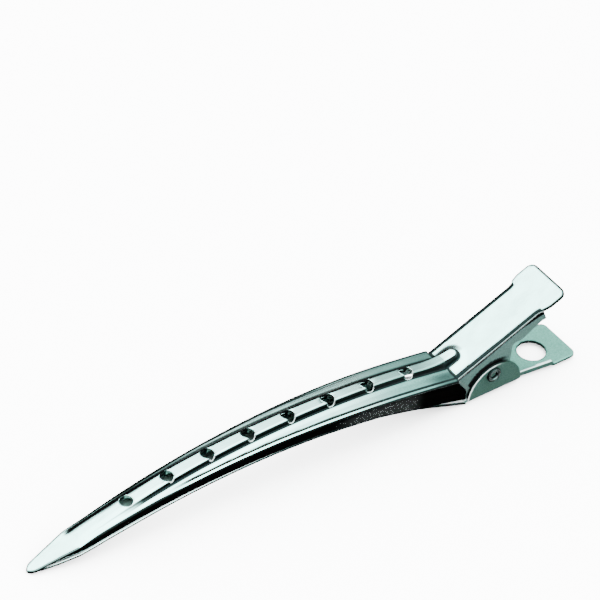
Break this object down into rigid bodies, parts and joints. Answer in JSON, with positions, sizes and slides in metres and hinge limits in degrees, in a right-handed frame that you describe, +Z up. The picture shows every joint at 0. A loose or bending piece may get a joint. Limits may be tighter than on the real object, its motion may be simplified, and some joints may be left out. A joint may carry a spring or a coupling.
{
  "type": "duckbill hair clip",
  "caption": "Long arched duckbill hair clip in bright metal, with a raised pierced rib, a thumb lever, a sprung hinge and a hole in the lower handle.",
  "frame": {"origin": "on the table, in the middle of the closed clip's length and width", "axes": "+X from the tip to the handles, +Y across the clip, +Z up, out of the table on which the clip lies"},
  "size_m": [0.095, 0.0084, 0.0136],
  "materials": {
    "upper_chrome": "bright plated sheet steel",
    "lower_chrome": "bright plated sheet steel",
    "rivet_chrome": "bright plated tubular rivet",
    "spring_steel": "drawn spring wire"
  },
  "bodies": {
    "lower": {"lower_jaw": "lower_chrome", "hinge_rivet": "rivet_chrome", "coil_spring": "spring_steel"},
    "upper": {"upper_jaw": "upper_chrome"}
  },
  "joints": [
    {"name": "jaw_hinge", "type": "hinge", "parent": "lower", "child": "upper", "pos_m": [0.03205, 0, 0.00395], "axis": [0, 1, 0], "range_deg": [0, 26], "stiffness_Nm_per_rad": 0.08, "springref_deg": -20.05, "deforming": ["coil_spring"]}
  ]
}
